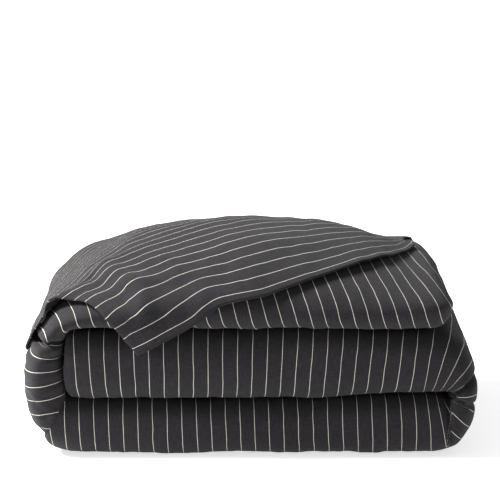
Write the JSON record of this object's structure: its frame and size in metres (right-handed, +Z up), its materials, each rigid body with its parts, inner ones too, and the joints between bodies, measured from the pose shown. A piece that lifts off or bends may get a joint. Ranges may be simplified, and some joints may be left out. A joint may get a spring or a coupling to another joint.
{
  "type": "folded duvet",
  "caption": "Duvet in a pinstriped cover, folded in thirds, with the cover's buttoned end turned back over the top.",
  "frame": {"origin": "centre of the folded stack's base, on the bed", "axes": "+X along the folded strip to the right fold, +Y from the front rolls to the back, +Z up"},
  "size_m": [0.7723, 0.5624, 0.3657],
  "materials": {
    "cover": "matt slubby linen weave with thin cream pinstripes",
    "insert": "soft white wadding in a plain cotton shell",
    "button": "dull dark horn"
  },
  "bodies": {
    "base": {"cover_bottom_third": "cover", "insert_bottom_third": "insert", "cover_right_fold": "cover", "insert_right_fold": "insert", "cover_middle_third": "cover", "insert_middle_third": "insert", "cover_left_fold": "cover", "insert_left_fold": "insert"},
    "top_third": {"cover_top_third": "cover", "insert_top_third": "insert", "flap_root": "cover"},
    "flap": {"flap_face_panel": "cover", "flap_back_panel": "cover", "flap_side_seam": "cover", "flap_end_hem": "cover", "flap_corner_tie": "cover", "button_1": "button", "button_2": "button", "button_3": "button", "button_4": "button"}
  },
  "joints": [
    {"name": "top_third_fold", "type": "hinge", "parent": "base", "child": "top_third", "pos_m": [-0.3825, 0, 0.1523], "axis": [0, -1, 0], "range_deg": [0, 150], "deforming": ["cover_left_fold", "insert_left_fold"]},
    {"name": "flap_lift", "type": "hinge", "parent": "top_third", "child": "flap", "pos_m": [0, 0.205, 0.3176], "axis": [-1, 0, 0], "range_deg": [0, 110]}
  ]
}
